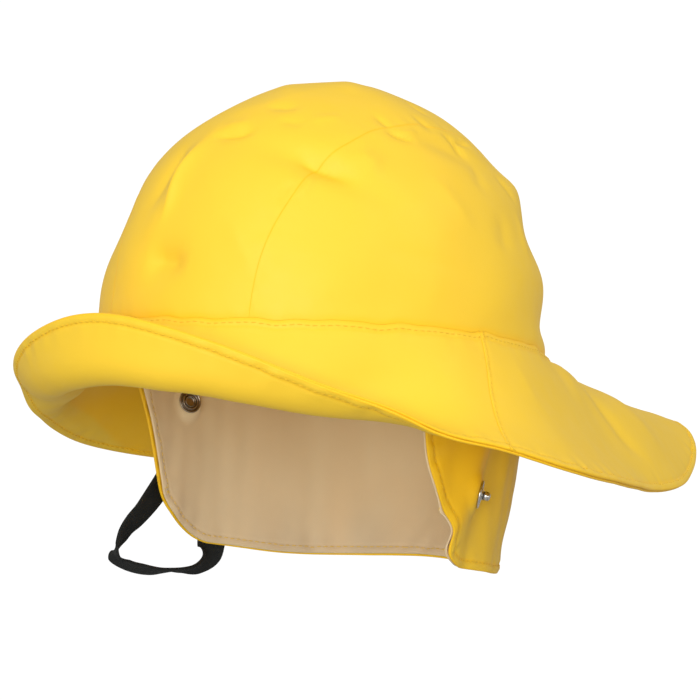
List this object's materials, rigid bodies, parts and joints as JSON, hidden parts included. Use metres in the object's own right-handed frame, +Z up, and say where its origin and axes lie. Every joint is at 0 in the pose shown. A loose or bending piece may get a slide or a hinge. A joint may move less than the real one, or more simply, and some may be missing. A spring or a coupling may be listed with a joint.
{
  "type": "rain hat with neck flap",
  "caption": "Soft rain hat of yellow coated cloth with a turned-up front brim, a long tail brim, a lined neck flap and an elastic chin strap.",
  "frame": {"origin": "middle of the head opening, at the height of the seam between crown and brim", "axes": "+Z up through the crown, -Y the way the wearer looks, +X the wearer's left"},
  "size_m": [0.2606, 0.3774, 0.213],
  "materials": {
    "coated_cloth": "satin",
    "lining_cloth": "matte",
    "elastic": "matte",
    "nickel": "polished"
  },
  "bodies": {
    "root": {"crown_centre_strip": "coated_cloth", "crown_side_left": "coated_cloth", "crown_side_right": "coated_cloth", "brim_front": "coated_cloth", "brim_back": "coated_cloth", "brim_under": "coated_cloth", "flap_shell": "coated_cloth", "flap_lining": "lining_cloth", "chin_strap": "elastic", "snap_stud": "nickel", "snap_stud_cap": "nickel", "snap_socket": "nickel", "snap_socket_cap": "nickel"}
  },
  "joints": []
}
